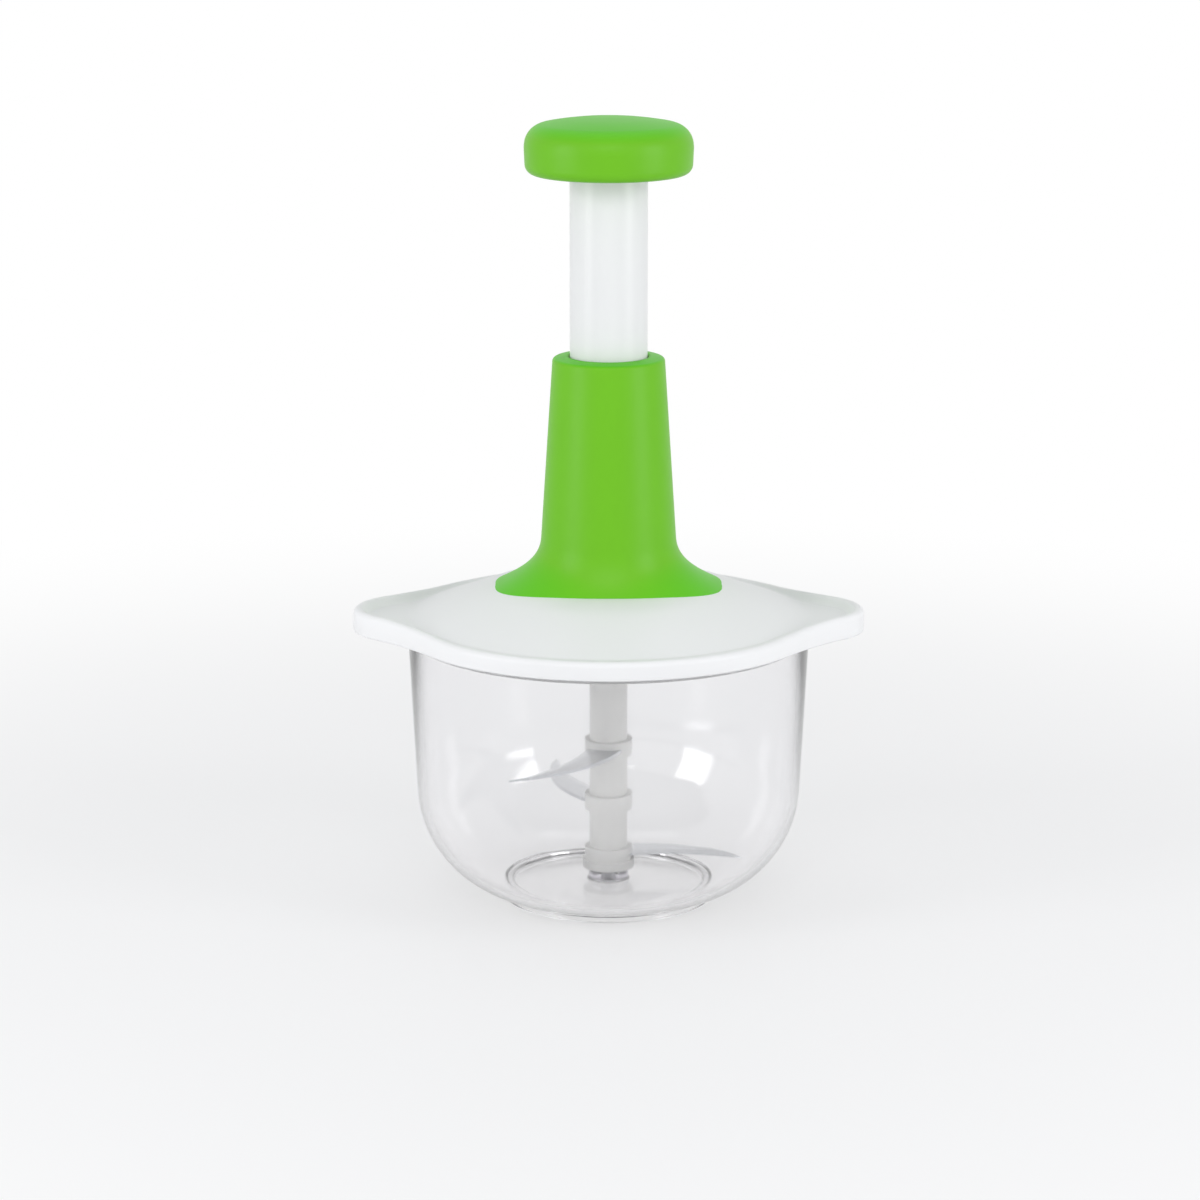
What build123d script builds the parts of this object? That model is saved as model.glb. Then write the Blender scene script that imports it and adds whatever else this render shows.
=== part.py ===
from build123d import *

import math
import os

# A press-down food chopper: a clear bowl, a lid with two broad ears, a flared tower and a knob on a
# plunger tube. Pressing the knob drives a nut down a twisted square spindle, which spins the blades
# in the bowl, and the spring inside the tube brings the knob up again.
# The origin is the middle of the foot ring's lower face. X runs through the ears, Z is up.

# Bowl
bowl_height = 89.6
bowl_rim_radius = 65.2
bowl_base_radius = 61.4
bowl_corner_radius = 36.0
bowl_wall = 2.4
bowl_rim_round = 0.9
foot_ring_radius = 35.0
foot_ring_width = 2.6
foot_ring_height = 1.6
pin_boss_radius = 6.5
pin_boss_height = 4.0
pin_boss_round = 1.5
pivot_pin_radius = 2.5
pivot_pin_bite = 4.0
pivot_pin_reach = 12.0
pivot_pin_nose = 1.0

# Lid
lid_drop = 2.6
lid_wall = 1.8
skirt_wall = 1.8
skirt_lip = 0.3
rim_rise = 3.4
ear_length = 15.7
ear_tip_radius = 28.0
ear_blend_radius = 20.0
ear_lift = 2.5
ear_rise = 3.6
ear_rise_inset = 17.7
ear_rise_reach = 8.3
seat_radius = 30.0
seat_rise = 1.7
dome_shoulder_radius = 38.0
dome_rise = 10.6
rim_band_width = 3.7
dome_step = 1.6
dome_bulge = 1.0
rim_round = 1.4
channel_gap = 0.4
plug_ring_wall = 1.8
plug_ring_depth = 6.0
lid_rib_count = 6
lid_rib_width = 1.6
lid_rib_depth = 7.0
lid_rib_reach = 28.0
rim_squeeze_gap = 0.2
skin_margin = 0.2

# Hub of the lid and the spindle's bearing
well_depth = 3.1
hub_radius = 11.0
hub_length = 12.6
bush_radius = 7.2
bush_flange_radius = 8.7
bush_flange_height = 1.2
washer_height = 0.8
washer_radius = 8.4

# Tower
tower_height = 72.6
tower_top_radius = 18.1
tower_neck_radius = 21.9
flare_height = 14.6
flare_sharpness = 1.25
flare_steps = 10
flare_solid_steps = 3
foot_reach_x = 37.45
foot_reach_y = 31.0
foot_sink = 0.6
tower_wall = 2.2
tower_lip = 2.5
tower_top_round = 2.0
bore_radius = 15.2
sleeve_wall = 1.6
key_depth = 1.4
key_width = 5.0
first_key_angle = 90.0
key_count = 3
guide_bush_height = 8.5
bush_lead_in = 0.5
tower_screw_x = 21.5
tower_screw_y = 9.0
tower_boss_radius = 3.4
screw_radius = 1.5
screw_head_radius = 2.9
screw_head_height = 2.0
screw_head_chamfer = 0.7
tower_screw_length = 7.0

# Plunger
stroke = 57.0
knob_gap = 2.0
tube_radius = 12.5
tube_wall = 2.0
tube_flange_width = 2.0
tube_flange_height = 1.6
stop_collar_height = 7.0
nut_setback = 5.2
nut_height = 7.0
nut_skirt_wall = 1.4
nut_pin_radius = 1.0
nut_pin_inset = 0.3
knob_radius = 27.0
knob_height = 18.5
knob_top_round = 7.0
knob_bottom_round = 5.0
knob_crown = 0.7
knob_side_bow = 0.35
knob_edge_lean = 10.0
knob_wall = 2.5
knob_cavity_radius = 22.4
knob_plate_height = 3.2
knob_plate_inset = 0.8
knob_hub_wall = 2.4
knob_screw_count = 3
knob_screw_circle = 18.2
knob_screw_length = 8.0
knob_post_radius = 3.2

# Spindle
spindle_lead = 28.0
spindle_side = 6.4
journal_radius = 5.0
shoulder_radius = 8.0
shoulder_height = 1.6
spindle_tail = 5.0
spindle_hex = 6.6
spindle_stub_radius = 2.6
spring_seat_radius = 9.6
spring_seat_height = 2.0
spring_pilot_radius = 7.3
spring_pilot_height = 1.2
spring_pilot_chamfer = 0.4
spindle_overrun = 2.0

# Return spring
spring_wire = 1.2
spring_radius = 8.6
spring_turns = 10
spring_wire_sides = 8
spring_samples = 400

# Coupler under the lid and the blade shaft
coupler_radius = 10.0
coupler_height = 16.0
coupler_chamfer = 0.8
coupler_screw_length = 8.0
drive_hex = 11.6
drive_head_height = 8.0
shaft_head_chamfer = 0.6
drive_depth = 9.0
shaft_radius = 6.2
shaft_foot_radius = 8.5
shaft_foot_height = 3.0
shaft_bore_depth = 13.0
shaft_collar_radius = 7.8
shaft_collar_height = 5.0
blade_thickness = 1.0
blade_heights = (13.0, 31.0, 49.0)
blade_reach = (45.0, 50.0, 50.0)
blade_turn = 120.0
blade_root_radius = 6.2
blade_eye_radius = 3.2
blade_width = 8.0
blade_sweep = 8.0
blade_bow = 5.5
blade_bow_share = 0.55
blade_bevel_width = 3.0
blade_bevel_depth = 0.6

# Clearances
running_gap = 0.08
slide_gap = 0.15
key_gap = 0.3
twist_gap = 0.2
seat_gap = 0.1
lift_gap = 0.3
overshoot = 1.0
same_height = 0.01

parts_folder = "parts"
os.makedirs(parts_folder, exist_ok=True)


def save(piece, name):
    """Label a finished piece and write it under its own name."""
    piece.part.label = name
    export_step(piece.part, f"{parts_folder}/{name}.step")
    print(f"{name}: {piece.part.volume:.0f} cubic mm")


# Heights worked out from the driving sizes
lid_bottom = bowl_height - lid_drop
rim_top = bowl_height + rim_rise
ear_top = rim_top + ear_rise
dome_rim_height = rim_top + dome_step
dome_shoulder_height = dome_rim_height + dome_rise
seat_height = dome_shoulder_height + seat_rise
flare_top = seat_height + flare_height
tower_top = seat_height + tower_height
well_floor = seat_height - well_depth
hub_bottom = well_floor - hub_length
washer_top = well_floor + washer_height
shoulder_bottom = washer_top + seat_gap
shoulder_top = shoulder_bottom + shoulder_height
knob_bottom = tower_top + stroke + knob_gap
knob_top = knob_bottom + knob_height
bush_bottom = tower_top - tower_lip - guide_bush_height
collar_top = bush_bottom - seat_gap
collar_bottom = collar_top - stop_collar_height
nut_bottom = collar_bottom + nut_setback
nut_top = nut_bottom + nut_height
tube_bore = tube_radius - tube_wall
spindle_top = nut_top + spindle_overrun
spring_bottom = spindle_top + spring_seat_height
stub_top = spring_bottom + spring_pilot_height
knob_roof = knob_top - knob_wall
coupler_top = hub_bottom - lift_gap
coupler_bottom = coupler_top - coupler_height
tail_bottom = coupler_top - spindle_tail
coupler_web = tail_bottom - coupler_bottom - drive_depth
knob_plate_bottom = knob_bottom + knob_plate_inset
knob_plate_top = knob_plate_bottom + knob_plate_height
nut_pin_height = collar_bottom + nut_setback / 2
bowl_floor = foot_ring_height + bowl_wall
boss_top = bowl_floor + pin_boss_height
shaft_bottom = boss_top + lift_gap
drive_roof = coupler_bottom + drive_depth
shaft_top = drive_roof - screw_head_height - lift_gap
channel_roof = rim_top - lid_wall
bowl_mouth_radius = bowl_rim_radius - bowl_wall
skirt_bore = bowl_rim_radius + channel_gap
lid_radius = skirt_bore + skirt_lip + skirt_wall
dome_rim_radius = lid_radius - rim_band_width
ear_reach = lid_radius + ear_length
ear_lift_start = lid_radius - ear_rise_inset
ear_lift_end = lid_radius + ear_rise_reach
plug_radius = bowl_mouth_radius - channel_gap
key_reach = bore_radius + key_depth
well_radius = key_reach + key_gap
foot_base = dome_shoulder_height - foot_sink
rib_start = (bush_radius + hub_radius) / 2


# Bowl: a turned cup with a wide rounded corner, a foot ring and a boss for the pin
with BuildPart() as bowl:
    with BuildSketch(Plane.XZ) as cup_half:
        with BuildLine():
            Polyline(
                (0, foot_ring_height),
                (bowl_base_radius, foot_ring_height),
                (bowl_rim_radius, bowl_height),
                (0, bowl_height),
                close=True,
            )
        make_face()
        base_corner = cup_half.vertices().group_by(Axis.Y)[0].sort_by(Axis.X)[-1]
        fillet(base_corner, bowl_corner_radius)
    revolve(axis=Axis.Z)
    rim_face = bowl.faces().sort_by(Axis.Z)[-1]
    offset(amount=-bowl_wall, openings=rim_face)
    fillet(bowl.edges().group_by(Axis.Z)[-1], bowl_rim_round)
    with BuildSketch(Plane.XY):
        Circle(foot_ring_radius)
        Circle(foot_ring_radius - foot_ring_width, mode=Mode.SUBTRACT)
    extrude(amount=foot_ring_height + bowl_wall / 2)
    with BuildSketch(Plane.XY.offset(bowl_floor - bowl_wall / 2)):
        Circle(pin_boss_radius)
    extrude(amount=pin_boss_height + bowl_wall / 2)
    boss_rim = bowl.edges().filter_by_position(Axis.Z, boss_top - same_height, boss_top + same_height)
    fillet(boss_rim, pin_boss_round)
    with Locations((0, 0, boss_top)):
        Hole(pivot_pin_radius, depth=pivot_pin_bite)
save(bowl, "bowl")

# Pivot pin: a steel pin with a chamfered nose, pressed into the boss
with BuildPart() as pivot_pin:
    with BuildSketch(Plane.XY.offset(boss_top - pivot_pin_bite)):
        Circle(pivot_pin_radius)
    extrude(amount=pivot_pin_bite + pivot_pin_reach)
    chamfer(pivot_pin.edges().sort_by(Axis.Z)[-1], pivot_pin_nose)
save(pivot_pin, "pivot_pin")


# Lid: the circle and the two ears in plan, bounded above and below by side profiles
def lid_outline(inset):
    """Plan of the lid: a circle with a broad rounded ear at each side, drawn in by the inset."""
    ear_middle = ear_reach - ear_tip_radius
    with BuildSketch() as plan:
        Circle(lid_radius - inset)
        with Locations((ear_middle, 0), (-ear_middle, 0)):
            Circle(ear_tip_radius - inset)
        fillet(plan.vertices(), ear_blend_radius + inset)
    return plan.sketch


def rim_side(bottom_low, bottom_high, top_low, top_high):
    """Side view of the rim: level in the middle, rising in an S towards each ear."""
    middle_x = (ear_lift_start + ear_lift_end) / 2
    tip_x = ear_reach + skirt_wall
    bottom_middle = (bottom_low + bottom_high) / 2
    top_middle = (top_low + top_high) / 2
    with BuildSketch() as side:
        with BuildLine():
            Line((0, bottom_low), (ear_lift_start, bottom_low))
            Spline(
                (ear_lift_start, bottom_low),
                (middle_x, bottom_middle),
                (ear_lift_end, bottom_high),
                tangents=((1, 0), (1, 0)),
            )
            Line((ear_lift_end, bottom_high), (tip_x, bottom_high))
            Line((tip_x, bottom_high), (tip_x, top_high))
            Line((tip_x, top_high), (ear_lift_end, top_high))
            Spline(
                (ear_lift_end, top_high),
                (middle_x, top_middle),
                (ear_lift_start, top_low),
                tangents=((-1, 0), (-1, 0)),
            )
            Line((ear_lift_start, top_low), (0, top_low))
            Line((0, top_low), (0, bottom_low))
        make_face()
        mirror(about=Plane.YZ)
    return side.sketch


def dome_half(drop, foot):
    """Half section of the domed top, lowered by the drop and closed at the height of the foot."""
    reach = lid_radius + overshoot
    seat_edge = (seat_radius, seat_height - drop)
    shoulder = (dome_shoulder_radius, dome_shoulder_height - drop)
    dome_edge = (dome_rim_radius, dome_rim_height - drop)
    slope_middle = (
        (dome_shoulder_radius + dome_rim_radius) / 2,
        (dome_shoulder_height + dome_rim_height) / 2 + dome_bulge - drop,
    )
    outer_foot = (reach, dome_rim_height - drop - (reach - dome_rim_radius))
    with BuildSketch() as half:
        with BuildLine():
            Polyline((0, foot), (0, seat_height - drop), seat_edge, shoulder)
            ThreePointArc(shoulder, slope_middle, dome_edge)
            Polyline(dome_edge, outer_foot, (reach, foot), (0, foot))
        make_face()
    return half.sketch


def tower_screw_places():
    """The four screws that hold the tower on the lid."""
    return GridLocations(2 * tower_screw_x, 2 * tower_screw_y, 2, 2)


def knob_screw_places():
    """The screws that close the knob."""
    return PolarLocations(knob_screw_circle, knob_screw_count, start_angle=first_key_angle)


def nut_pin_axis():
    """Axis of the two pins, across the tube along X."""
    return Location((0, 0, nut_pin_height), (0, 90, 0))


def on_lid_outline(edge):
    """Whether an edge runs level round the lid's outside, along the rim or an ear."""
    if edge.geom_type == GeomType.LINE:
        return False
    places = [edge.position_at(share) for share in (0, 0.5, 1)]
    level = abs(places[0].Z - places[2].Z) < ear_lift + ear_top - rim_top
    return level and all(math.hypot(place.X, place.Y) > lid_radius - seat_gap for place in places)


# Outside of the lid as one solid block, kept to cut the tower's foot to it
with BuildPart() as lid_block:
    with BuildSketch(Plane.XZ):
        add(rim_side(lid_bottom, lid_bottom + ear_lift, rim_top, ear_top))
    extrude(amount=ear_reach, both=True)
    with BuildSketch(Plane.XZ):
        add(dome_half(0, lid_bottom))
    revolve(axis=Axis.Z)
    with BuildSketch(Plane.XY.offset(lid_bottom)):
        add(lid_outline(0))
    extrude(amount=seat_height, mode=Mode.INTERSECT)
    outline_edges = [edge for edge in lid_block.edges() if on_lid_outline(edge)]
    fillet([edge for edge in outline_edges if edge.center().Z > rim_top - seat_gap], rim_round)

# Hollow under the lid, open below
hollow_foot = lid_bottom - overshoot
with BuildPart() as lid_hollow:
    with BuildSketch(Plane.XZ):
        add(rim_side(hollow_foot, hollow_foot, rim_top - lid_wall, ear_top - lid_wall))
    extrude(amount=ear_reach, both=True)
    with BuildSketch(Plane.XZ):
        add(dome_half(lid_wall, hollow_foot))
    revolve(axis=Axis.Z)
    with BuildSketch(Plane.XY.offset(hollow_foot)):
        add(lid_outline(skirt_wall))
    extrude(amount=seat_height, mode=Mode.INTERSECT)

# Lid: the block made hollow, with the channel for the bowl's rim, the hub and its ribs
with BuildPart() as lid:
    add(lid_block.part)
    add(lid_hollow.part, mode=Mode.SUBTRACT)
    with BuildSketch(Plane.XZ):
        with BuildLine():
            plug_bottom = channel_roof - plug_ring_depth
            plug_inner = plug_radius - plug_ring_wall
            ring_outer = lid_radius - skin_margin
            plug_top = dome_rim_height - lid_wall / 4
            Polyline(
                (plug_inner, plug_bottom),
                (plug_radius, plug_bottom),
                (plug_radius, channel_roof),
                (skirt_bore, channel_roof),
                (skirt_bore, lid_bottom),
                (ring_outer, lid_bottom),
                (ring_outer, channel_roof + lid_wall / 2),
                (plug_radius, plug_top),
                (plug_inner, plug_top + plug_ring_wall / 2),
                close=True,
            )
        make_face()
    revolve(axis=Axis.Z)
    with BuildSketch(Plane.XZ):
        with BuildLine():
            hub_step = well_floor - lid_wall
            Polyline(
                (0, hub_bottom),
                (hub_radius, hub_bottom),
                (hub_radius, hub_step),
                (well_radius + lid_wall, hub_step),
                (well_radius + lid_wall, seat_height - lid_wall / 2),
                (0, seat_height - lid_wall / 2),
                close=True,
            )
        make_face()
    revolve(axis=Axis.Z)
    with BuildSketch(Plane.XY.offset(seat_height - lid_wall / 2)):
        with PolarLocations((lid_rib_reach + rib_start) / 2, lid_rib_count):
            Rectangle(lid_rib_reach - rib_start, lid_rib_width)
    extrude(amount=-lid_rib_depth)
    with Locations((0, 0, seat_height)):
        Hole(well_radius, depth=well_depth)
    with Locations((0, 0, well_floor)):
        CounterBoreHole(bush_radius, bush_flange_radius, bush_flange_height)
    with BuildSketch(Plane.XY.offset(seat_height)):
        with tower_screw_places():
            Circle(screw_radius)
    extrude(amount=-2 * lid_wall, mode=Mode.SUBTRACT)
save(lid, "lid")

# Seal ring in the roof of the rim channel
with BuildPart() as lid_gasket:
    with BuildSketch(Plane.XY.offset(channel_roof)):
        Circle(skirt_bore - seat_gap)
        Circle(plug_radius + seat_gap, mode=Mode.SUBTRACT)
    extrude(amount=bowl_height + rim_squeeze_gap - channel_roof)
save(lid_gasket, "lid_gasket")


# Tower: a tapered neck that flares into an oval foot, wider towards the ears
def neck_radius(height):
    """Radius of the neck, which tapers evenly from the flare to the mouth."""
    share = (height - flare_top) / (tower_top - flare_top)
    return tower_neck_radius + (tower_top_radius - tower_neck_radius) * share


def flare_section(share, inset):
    """Height and half-widths of the flare: hollow below the neck, then rounded over at the foot."""
    height = flare_top - (flare_top - foot_base) * share
    spread = math.sin(math.pi / 2 * share**flare_sharpness) ** 2
    neck = neck_radius(height)
    half_x = neck + (foot_reach_x - neck) * spread - inset
    half_y = neck + (foot_reach_y - neck) * spread - inset
    return height, half_x, half_y


def flare(first_step, inset):
    """Solid of the flare from one step down to the foot, drawn in by the inset."""
    with BuildPart() as form:
        for step in range(first_step, flare_steps + 1):
            height, half_x, half_y = flare_section(step / flare_steps, inset)
            with BuildSketch(Plane.XY.offset(height)):
                Ellipse(half_x, half_y)
        loft()
    return form.part


# Hollow in the tower's foot, round the sleeve and the screw bosses
with BuildPart() as foot_hollow:
    add(flare(flare_solid_steps, tower_wall))
    with BuildSketch(Plane.XY.offset(foot_base)):
        Circle(key_reach + sleeve_wall)
        with tower_screw_places():
            Circle(tower_boss_radius)
    extrude(amount=flare_top - foot_base, mode=Mode.SUBTRACT)

with BuildPart() as tower_housing:
    add(flare(0, 0))
    with BuildSketch(Plane.XZ):
        with BuildLine():
            Polyline(
                (0, flare_top),
                (tower_neck_radius, flare_top),
                (tower_top_radius, tower_top),
                (0, tower_top),
                close=True,
            )
        make_face()
    revolve(axis=Axis.Z)
    fillet(tower_housing.edges().group_by(Axis.Z)[-1], tower_top_round)
    add(foot_hollow.part, mode=Mode.SUBTRACT)
    add(lid_block.part, mode=Mode.SUBTRACT)
    with BuildSketch(Plane.XY.offset(foot_base)):
        Circle(bore_radius)
        with PolarLocations(key_reach / 2, key_count, start_angle=first_key_angle):
            Rectangle(key_reach, key_width)
    extrude(amount=bush_bottom - foot_base, mode=Mode.SUBTRACT)
    with BuildSketch(Plane.XY.offset(bush_bottom)):
        Circle(bore_radius)
    extrude(amount=guide_bush_height, mode=Mode.SUBTRACT)
    with Locations((0, 0, tower_top)):
        Hole(tube_radius + lift_gap, depth=tower_lip)
    with BuildSketch(Plane.XY.offset(seat_height)):
        with tower_screw_places():
            Circle(screw_radius)
    extrude(amount=tower_screw_length - lid_wall, mode=Mode.SUBTRACT)
save(tower_housing, "tower_housing")

# Ring in the tower's mouth that guides the tube
with BuildPart() as guide_bush:
    with BuildSketch(Plane.XY.offset(bush_bottom)):
        Circle(bore_radius)
        Circle(tube_radius + slide_gap, mode=Mode.SUBTRACT)
    extrude(amount=guide_bush_height)
    chamfer(guide_bush.edges().group_by(Axis.Z)[0].sort_by(SortBy.RADIUS)[0], bush_lead_in)
save(guide_bush, "guide_bush")


def pan_head_screw(length):
    """A pan-head screw that points up: its head hangs below z = 0."""
    with BuildPart() as screw:
        with BuildSketch():
            Circle(screw_radius)
        extrude(amount=length)
        with BuildSketch():
            Circle(screw_head_radius)
        extrude(amount=-screw_head_height)
        chamfer(screw.edges().group_by(Axis.Z)[0], screw_head_chamfer)
    return screw.part


# Four screws from under the lid into the tower's bosses
with BuildPart() as tower_screws:
    with Locations((0, 0, seat_height - lid_wall)):
        with tower_screw_places():
            add(pan_head_screw(tower_screw_length))
save(tower_screws, "tower_screws")

# Flanged bearing bush, let into the floor of the lid's well
with BuildPart() as spindle_bush:
    with BuildSketch(Plane.XY.offset(hub_bottom)):
        Circle(bush_radius)
    extrude(amount=hub_length)
    with BuildSketch(Plane.XY.offset(well_floor - bush_flange_height)):
        Circle(bush_flange_radius)
    extrude(amount=bush_flange_height)
    with Locations((0, 0, well_floor)):
        Hole(journal_radius + running_gap)
save(spindle_bush, "spindle_bush")

# Steel washer that takes the spring's thrust under the spindle's shoulder
with BuildPart() as thrust_washer:
    with BuildSketch(Plane.XY.offset(well_floor)):
        Circle(washer_radius)
        Circle(journal_radius + slide_gap, mode=Mode.SUBTRACT)
    extrude(amount=washer_height)
save(thrust_washer, "thrust_washer")


def twisted_bar(side, bottom, top):
    """A square bar twisted right-handed about Z, with its flats along X and Y at the shoulder."""
    length = top - bottom
    start_angle = 360 * (bottom - shoulder_top) / spindle_lead
    with BuildSketch(Plane.XY.offset(bottom).rotated((0, 0, start_angle))) as section:
        Rectangle(side, side)
    return Solid.extrude_linear_with_rotation(
        section.sketch.faces()[0],
        (0, 0, bottom),
        (0, 0, length),
        360 * length / spindle_lead,
    )


# Spindle: hexagonal tail, journal, shoulder, twisted square bar and a stub for the spring's seat
with BuildPart() as twisted_spindle:
    add(twisted_bar(spindle_side, shoulder_top, spindle_top))
    with BuildSketch(Plane.XY.offset(shoulder_bottom)):
        Circle(shoulder_radius)
    extrude(amount=shoulder_height)
    with BuildSketch(Plane.XY.offset(coupler_top)):
        Circle(journal_radius)
    extrude(amount=shoulder_bottom - coupler_top)
    with BuildSketch(Plane.XY.offset(tail_bottom)):
        RegularPolygon(spindle_hex / 2, 6, major_radius=False)
    extrude(amount=spindle_tail)
    with BuildSketch(Plane.XY.offset(spindle_top)):
        Circle(spindle_stub_radius)
    extrude(amount=stub_top - spindle_top)
    with Locations(Location((0, 0, tail_bottom), (180, 0, 0))):
        Hole(screw_radius, depth=coupler_screw_length - coupler_web)
save(twisted_spindle, "twisted_spindle")

# Cap on the spindle's stub that carries and centres the spring
with BuildPart() as spring_seat:
    with BuildSketch(Plane.XY.offset(spindle_top)):
        Circle(spring_seat_radius)
    extrude(amount=spring_seat_height)
    with BuildSketch(Plane.XY.offset(spring_bottom)):
        Circle(spring_pilot_radius)
    extrude(amount=spring_pilot_height)
    chamfer(spring_seat.edges().group_by(Axis.Z)[-1], spring_pilot_chamfer)
    with Locations((0, 0, stub_top)):
        Hole(spindle_stub_radius)
save(spring_seat, "spring_seat")

# Coupler on the spindle's tail, with the hexagonal socket for the blade shaft
with BuildPart() as drive_coupler:
    with BuildSketch(Plane.XY.offset(coupler_bottom)):
        Circle(coupler_radius)
    extrude(amount=coupler_height)
    chamfer(drive_coupler.edges().group_by(Axis.Z)[0], coupler_chamfer)
    chamfer(drive_coupler.edges().group_by(Axis.Z)[-1], coupler_chamfer)
    with BuildSketch(Plane.XY.offset(coupler_bottom)):
        RegularPolygon(drive_hex / 2, 6, major_radius=False)
    extrude(amount=drive_depth, mode=Mode.SUBTRACT)
    with BuildSketch(Plane.XY.offset(tail_bottom)):
        RegularPolygon(spindle_hex / 2, 6, major_radius=False)
    extrude(amount=spindle_tail, mode=Mode.SUBTRACT)
    with Locations((0, 0, coupler_top)):
        Hole(screw_radius)
save(drive_coupler, "drive_coupler")

# Screw that draws the coupler up against the journal
with BuildPart() as coupler_screw:
    with Locations((0, 0, drive_roof)):
        add(pan_head_screw(coupler_screw_length))
save(coupler_screw, "coupler_screw")

# Plunger tube with the flange that the knob clamps
with BuildPart() as plunger_tube:
    with BuildSketch(Plane.XY.offset(collar_bottom)):
        Circle(tube_radius)
    extrude(amount=knob_roof - collar_bottom)
    with BuildSketch(Plane.XY.offset(knob_roof)):
        Circle(tube_radius + tube_flange_width)
    extrude(amount=-tube_flange_height)
    with Locations((0, 0, knob_roof)):
        Hole(tube_bore)
    with Locations(nut_pin_axis()):
        Cylinder(nut_pin_radius, 2 * (tube_radius + overshoot), mode=Mode.SUBTRACT)
save(plunger_tube, "plunger_tube")

# Nut in the tube's lower end: a twisted square bore above a skirt that clears the spindle's shoulder
with BuildPart() as drive_nut:
    with BuildSketch(Plane.XY.offset(collar_bottom)):
        Circle(tube_bore)
    extrude(amount=nut_top - collar_bottom)
    with BuildSketch(Plane.XY.offset(collar_bottom)):
        Circle(tube_bore - nut_skirt_wall)
    extrude(amount=nut_setback, mode=Mode.SUBTRACT)
    bore_side = spindle_side + 2 * twist_gap
    add(twisted_bar(bore_side, nut_bottom - overshoot, nut_top + overshoot), mode=Mode.SUBTRACT)
    with Locations(nut_pin_axis()):
        Cylinder(nut_pin_radius, 2 * tube_radius, mode=Mode.SUBTRACT)
save(drive_nut, "drive_nut")

# Collar on the tube's lower end: the upper stop, with three keys that keep the tube from turning
with BuildPart() as stop_collar:
    with BuildSketch(Plane.XY.offset(collar_bottom)):
        Circle(bore_radius - key_gap)
        with PolarLocations((key_reach - key_gap) / 2, key_count, start_angle=first_key_angle):
            Rectangle(key_reach - key_gap, key_width - 2 * key_gap)
        Circle(tube_radius, mode=Mode.SUBTRACT)
    extrude(amount=stop_collar_height)
    with Locations(nut_pin_axis()):
        Cylinder(nut_pin_radius, 2 * bore_radius, mode=Mode.SUBTRACT)
save(stop_collar, "stop_collar")

# Two pins through collar, tube and nut
with BuildPart() as nut_pins:
    pin_inner = tube_bore - nut_skirt_wall
    pin_length = bore_radius - key_gap - nut_pin_inset - pin_inner
    with Locations(
        Location((pin_inner + pin_length / 2, 0, nut_pin_height), (0, 90, 0)),
        Location((-pin_inner - pin_length / 2, 0, nut_pin_height), (0, 90, 0)),
    ):
        Cylinder(nut_pin_radius, pin_length)
save(nut_pins, "nut_pins")

# Knob: a thick-rimmed cap, domed above, with three posts for the screws
with BuildPart() as push_knob:
    with BuildSketch(Plane.XZ):
        with BuildLine():
            side_x = knob_radius - knob_side_bow
            lean = math.cos(math.radians(knob_edge_lean))
            under = Line((0, knob_bottom), (side_x - knob_bottom_round * lean, knob_bottom))
            low_edge = JernArc(under @ 1, under % 1, knob_bottom_round, 90 - knob_edge_lean)
            crown_x = side_x - knob_top_round * lean
            crown_z = knob_top - knob_crown
            crown_middle = (crown_x / 2, knob_top - knob_crown / 4)
            crown = ThreePointArc((0, knob_top), crown_middle, (crown_x, crown_z))
            crown_slope = math.degrees(2 * math.atan(knob_crown / crown_x))
            high_turn = 90 - knob_edge_lean - crown_slope
            high_edge = JernArc(crown @ 1, crown % 1, knob_top_round, -high_turn)
            side_middle = ((low_edge @ 1).Y + (high_edge @ 1).Y) / 2
            ThreePointArc(low_edge @ 1, (knob_radius, side_middle), high_edge @ 1)
            Line(crown @ 0, under @ 0)
        make_face()
    revolve(axis=Axis.Z)
    with BuildSketch(Plane.XY.offset(knob_bottom)):
        Circle(knob_cavity_radius)
    extrude(amount=knob_roof - knob_bottom, mode=Mode.SUBTRACT)
    with BuildSketch(Plane.XY.offset(knob_plate_top)):
        with knob_screw_places():
            Circle(knob_post_radius)
    extrude(amount=knob_roof - knob_plate_top + knob_wall / 2)
    with BuildSketch(Plane.XY.offset(knob_plate_top)):
        with knob_screw_places():
            Circle(screw_radius)
    extrude(amount=knob_screw_length, mode=Mode.SUBTRACT)
save(push_knob, "push_knob")

# Plate that closes the knob below, with the hub under the tube's flange
with BuildPart() as knob_base:
    with BuildSketch(Plane.XY.offset(knob_plate_bottom)):
        Circle(knob_cavity_radius)
    extrude(amount=knob_plate_height)
    with BuildSketch(Plane.XY.offset(knob_plate_top)):
        Circle(tube_radius + knob_hub_wall)
    extrude(amount=knob_roof - tube_flange_height - knob_plate_top)
    with Locations((0, 0, knob_roof)):
        Hole(tube_radius)
    with BuildSketch(Plane.XY.offset(knob_plate_bottom)):
        with knob_screw_places():
            Circle(screw_head_radius + seat_gap)
    extrude(amount=screw_head_height, mode=Mode.SUBTRACT)
    with BuildSketch(Plane.XY.offset(knob_plate_bottom)):
        with knob_screw_places():
            Circle(screw_radius)
    extrude(amount=knob_plate_height, mode=Mode.SUBTRACT)
save(knob_base, "knob_base")

# Three screws from below that clamp plate, tube and cap
with BuildPart() as knob_screws:
    with Locations((0, 0, knob_plate_bottom + screw_head_height)):
        with knob_screw_places():
            add(pan_head_screw(knob_screw_length))
save(knob_screws, "knob_screws")


# Return spring: an open coil inside the tube, from the spindle's seat to the knob's roof
def coil_point(angle):
    """Point of the wire's middle line after turning through the angle."""
    rise = coil_pitch * angle / (2 * math.pi)
    return Vector(spring_radius * math.cos(angle), spring_radius * math.sin(angle), coil_start + rise)


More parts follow.
